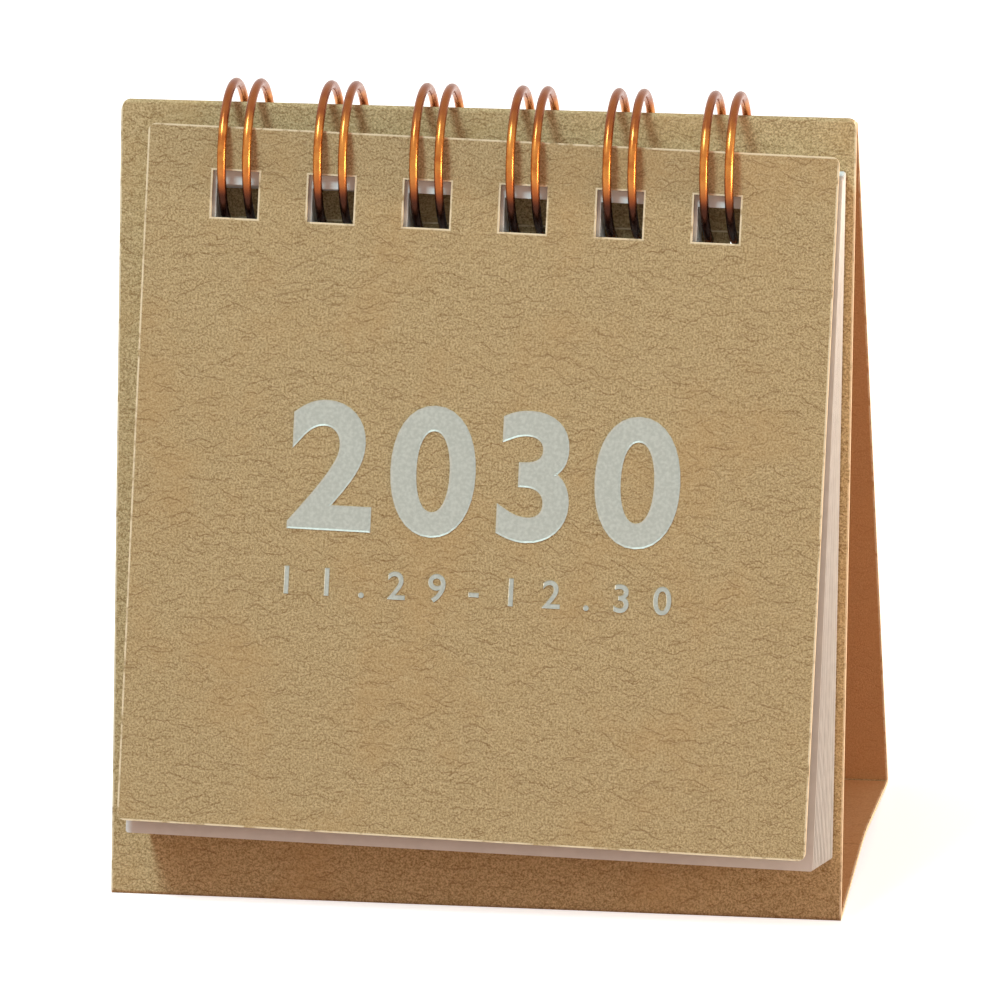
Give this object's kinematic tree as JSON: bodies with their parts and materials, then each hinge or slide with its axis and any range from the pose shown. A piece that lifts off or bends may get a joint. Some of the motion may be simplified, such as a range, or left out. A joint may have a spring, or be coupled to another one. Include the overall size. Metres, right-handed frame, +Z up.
{
  "type": "tent desk calendar",
  "caption": "Small desk calendar: a folded kraft-card tent stand carries a pad of white leaves and a kraft cover on a copper twin-loop wire, whose sheets turn up and whose stand folds inward.",
  "frame": {"origin": "on the table under the middle of the part's box, which is the middle of its footprint", "axes": "+Z up, +X to the reader's right along the top fold, +Y from the reader towards the back"},
  "size_m": [0.0648, 0.0392, 0.0699],
  "materials": {
    "kraft_card": "matte",
    "leaf_paper": "matte",
    "copper_wire": "satin"
  },
  "bodies": {
    "stand": {"stand_front_panel": "kraft_card", "binding_wire": "copper_wire"},
    "rear_leg": {"stand_rear_panel": "kraft_card"},
    "base_front": {"stand_base_front": "kraft_card"},
    "base_rear": {"stand_base_rear": "kraft_card"},
    "base_crease": {"stand_base_crease": "kraft_card"},
    "leaf_01": {"leaf_01": "leaf_paper"},
    "leaf_02": {"leaf_02": "leaf_paper"},
    "leaf_03": {"leaf_03": "leaf_paper"},
    "leaf_04": {"leaf_04": "leaf_paper"},
    "leaf_05": {"leaf_05": "leaf_paper"},
    "leaf_06": {"leaf_06": "leaf_paper"},
    "leaf_07": {"leaf_07": "leaf_paper"},
    "leaf_08": {"leaf_08": "leaf_paper"},
    "leaf_09": {"leaf_09": "leaf_paper"},
    "leaf_10": {"leaf_10": "leaf_paper"},
    "leaf_11": {"leaf_11": "leaf_paper"},
    "leaf_12": {"leaf_12": "leaf_paper"},
    "leaf_13": {"leaf_13": "leaf_paper"},
    "leaf_14": {"leaf_14": "leaf_paper"},
    "cover": {"cover": "kraft_card"}
  },
  "joints": [
    {"name": "stand_fold", "type": "hinge", "parent": "stand", "child": "rear_leg", "pos_m": [0, 0.0027, 0.0677], "axis": [-1, 0, 0], "range_deg": [0, 18], "deforming": ["stand_base_crease"]},
    {"name": "base_front_fold", "type": "hinge", "parent": "stand", "child": "base_front", "pos_m": [0, -0.01384, 0.00035], "axis": [1, 0, 0], "range_deg": [0, 62.2]},
    {"name": "base_rear_fold", "type": "hinge", "parent": "rear_leg", "child": "base_rear", "pos_m": [0, 0.01925, 0.00035], "axis": [-1, 0, 0], "range_deg": [0, 62.2]},
    {"name": "base_crease_fold", "type": "hinge", "parent": "base_front", "child": "base_crease", "pos_m": [0, 0.0003, 0.00155], "axis": [-1, 0, 0], "range_deg": [0, 71.2]},
    {"name": "leaf_14_turn", "type": "hinge", "parent": "stand", "child": "leaf_14", "pos_m": [0, 0.00305, 0.06315], "axis": [-1, 0, 0], "range_deg": [0, 3]},
    {"name": "leaf_13_turn", "type": "hinge", "parent": "leaf_14", "child": "leaf_13", "pos_m": [0, 0.00305, 0.06315], "axis": [-1, 0, 0], "range_deg": [0, 3]},
    {"name": "leaf_12_turn", "type": "hinge", "parent": "leaf_13", "child": "leaf_12", "pos_m": [0, 0.00305, 0.06315], "axis": [-1, 0, 0], "range_deg": [0, 3]},
    {"name": "leaf_11_turn", "type": "hinge", "parent": "leaf_12", "child": "leaf_11", "pos_m": [0, 0.00305, 0.06315], "axis": [-1, 0, 0], "range_deg": [0, 3]},
    {"name": "leaf_10_turn", "type": "hinge", "parent": "leaf_11", "child": "leaf_10", "pos_m": [0, 0.00305, 0.06315], "axis": [-1, 0, 0], "range_deg": [0, 3]},
    {"name": "leaf_09_turn", "type": "hinge", "parent": "leaf_10", "child": "leaf_09", "pos_m": [0, 0.00305, 0.06315], "axis": [-1, 0, 0], "range_deg": [0, 3]},
    {"name": "leaf_08_turn", "type": "hinge", "parent": "leaf_09", "child": "leaf_08", "pos_m": [0, 0.00305, 0.06315], "axis": [-1, 0, 0], "range_deg": [0, 3]},
    {"name": "leaf_07_turn", "type": "hinge", "parent": "leaf_08", "child": "leaf_07", "pos_m": [0, 0.00305, 0.06315], "axis": [-1, 0, 0], "range_deg": [0, 3]},
    {"name": "leaf_06_turn", "type": "hinge", "parent": "leaf_07", "child": "leaf_06", "pos_m": [0, 0.00305, 0.06315], "axis": [-1, 0, 0], "range_deg": [0, 3]},
    {"name": "leaf_05_turn", "type": "hinge", "parent": "leaf_06", "child": "leaf_05", "pos_m": [0, 0.00305, 0.06315], "axis": [-1, 0, 0], "range_deg": [0, 3]},
    {"name": "leaf_04_turn", "type": "hinge", "parent": "leaf_05", "child": "leaf_04", "pos_m": [0, 0.00305, 0.06315], "axis": [-1, 0, 0], "range_deg": [0, 3]},
    {"name": "leaf_03_turn", "type": "hinge", "parent": "leaf_04", "child": "leaf_03", "pos_m": [0, 0.00305, 0.06315], "axis": [-1, 0, 0], "range_deg": [0, 3]},
    {"name": "leaf_02_turn", "type": "hinge", "parent": "leaf_03", "child": "leaf_02", "pos_m": [0, 0.00305, 0.06315], "axis": [-1, 0, 0], "range_deg": [0, 3]},
    {"name": "leaf_01_turn", "type": "hinge", "parent": "leaf_02", "child": "leaf_01", "pos_m": [0, 0.00305, 0.06315], "axis": [-1, 0, 0], "range_deg": [0, 3]},
    {"name": "cover_turn", "type": "hinge", "parent": "leaf_01", "child": "cover", "pos_m": [0, 0.00305, 0.06315], "axis": [-1, 0, 0], "range_deg": [0, 150]}
  ],
  "couplings": [
    {"joint": "base_front_fold", "follows": "stand_fold", "ratio": 3.45},
    {"joint": "base_rear_fold", "follows": "stand_fold", "ratio": 3.45},
    {"joint": "base_crease_fold", "follows": "stand_fold", "ratio": 3.95}
  ]
}
